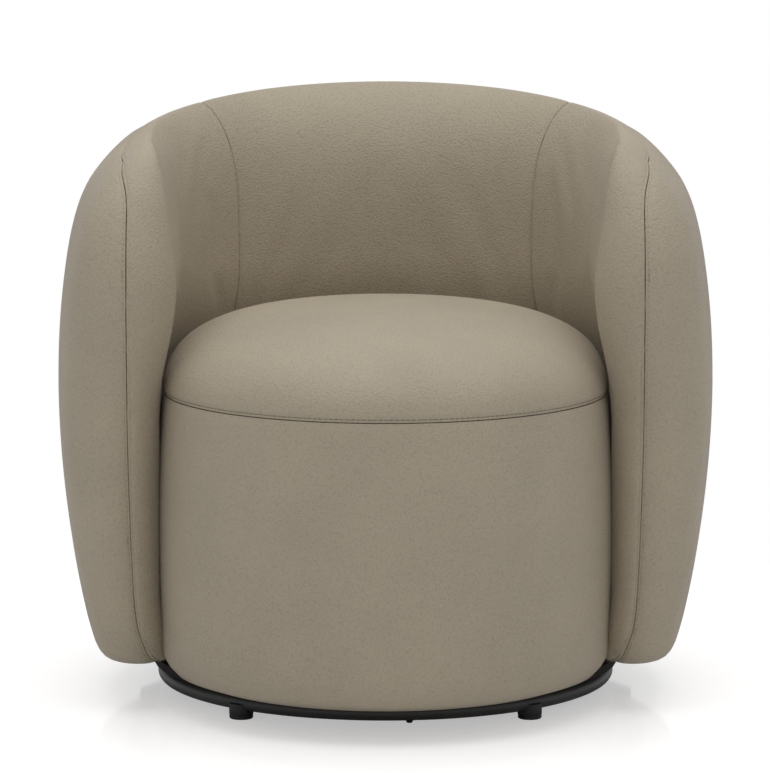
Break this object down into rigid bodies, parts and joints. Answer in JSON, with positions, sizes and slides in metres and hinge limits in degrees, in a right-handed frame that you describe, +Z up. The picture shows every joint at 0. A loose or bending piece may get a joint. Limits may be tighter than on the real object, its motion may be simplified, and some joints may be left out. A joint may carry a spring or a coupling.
{
  "type": "swivel accent chair",
  "caption": "Round upholstered tub chair: a C-shaped shell of arms and back round a drum seat with a crowned top, turning on a low ring base of tube.",
  "frame": {"origin": "on the floor under the glides, on the swivel axis, which is the centre of the plan", "axes": "+Z up; the chair faces -Y; +X to the sitter's left; both sides of X = 0 match"},
  "size_m": [0.801, 0.7791, 0.7034],
  "materials": {
    "black_powder_coat": "satin black powder coat with a slight sheen",
    "blackened_screw": "blackened steel",
    "glide_plastic": "matte black moulded plastic",
    "zinc_plated_steel": "zinc plated, dull",
    "bright_steel": "ground bright steel, lightly greased",
    "black_stained_board": "plywood stained matte black",
    "webbing": "woven elastic webbing",
    "upholstery_leather": "matte warm taupe, very fine pebble grain",
    "foam": "pale upholstery foam",
    "hardboard": "bare brown hardboard",
    "frame_plywood": "bare birch plywood"
  },
  "bodies": {
    "base": {"base_ring": "black_powder_coat", "base_cross": "black_powder_coat", "foot_glide_front_left": "glide_plastic", "foot_glide_front_right": "glide_plastic", "foot_glide_rear_left": "glide_plastic", "foot_glide_rear_right": "glide_plastic", "ring_joint_screw": "blackened_screw", "lower_bearing_plate": "zinc_plated_steel", "lower_plate_bolt_front_left": "zinc_plated_steel", "lower_plate_bolt_front_right": "zinc_plated_steel", "lower_plate_bolt_rear_left": "zinc_plated_steel", "lower_plate_bolt_rear_right": "zinc_plated_steel"},
    "ball_cage": {"ball_cage": "bright_steel"},
    "chair": {"upper_bearing_plate": "zinc_plated_steel", "upper_plate_bolt_front_left": "zinc_plated_steel", "upper_plate_bolt_front_right": "zinc_plated_steel", "upper_plate_bolt_rear_left": "zinc_plated_steel", "upper_plate_bolt_rear_right": "zinc_plated_steel", "plinth_board": "black_stained_board", "shell_block_rear": "frame_plywood", "shell_block_left": "frame_plywood", "shell_block_right": "frame_plywood", "drum_lower_hoop": "frame_plywood", "drum_upper_hoop": "frame_plywood", "drum_post_front_left": "frame_plywood", "drum_post_front_right": "frame_plywood", "drum_post_rear_left": "frame_plywood", "drum_post_rear_right": "frame_plywood", "webbing_lengthwise_1": "webbing", "webbing_lengthwise_2": "webbing", "webbing_lengthwise_3": "webbing", "webbing_crosswise_1": "webbing", "webbing_crosswise_2": "webbing", "webbing_crosswise_3": "webbing", "drum_padding": "foam", "drum_cover": "upholstery_leather", "seat_foam": "foam", "seat_cover": "upholstery_leather", "shell_bottom_rail": "frame_plywood", "shell_top_rail": "frame_plywood", "outer_board": "hardboard", "inner_board": "hardboard", "arm_post_left": "frame_plywood", "arm_post_right": "frame_plywood", "back_rib_left": "frame_plywood", "back_rib_centre": "frame_plywood", "back_rib_right": "frame_plywood", "outer_padding": "foam", "inside_arm_foam_left": "foam", "inside_arm_foam_right": "foam", "inside_back_foam": "foam", "rim_roll": "foam", "outside_cover": "upholstery_leather", "inside_arm_cover_left": "upholstery_leather", "inside_arm_cover_right": "upholstery_leather", "inside_back_cover": "upholstery_leather"}
  },
  "joints": [
    {"name": "seat_swivel", "type": "hinge", "parent": "base", "child": "chair", "pos_m": [0, 0, 0.0323], "axis": [0, 0, 1], "continuous": true},
    {"name": "cage_orbit", "type": "hinge", "parent": "base", "child": "ball_cage", "pos_m": [0, 0, 0.0261], "axis": [0, 0, 1], "continuous": true}
  ],
  "couplings": [
    {"joint": "cage_orbit", "follows": "seat_swivel", "ratio": 0.5}
  ]
}
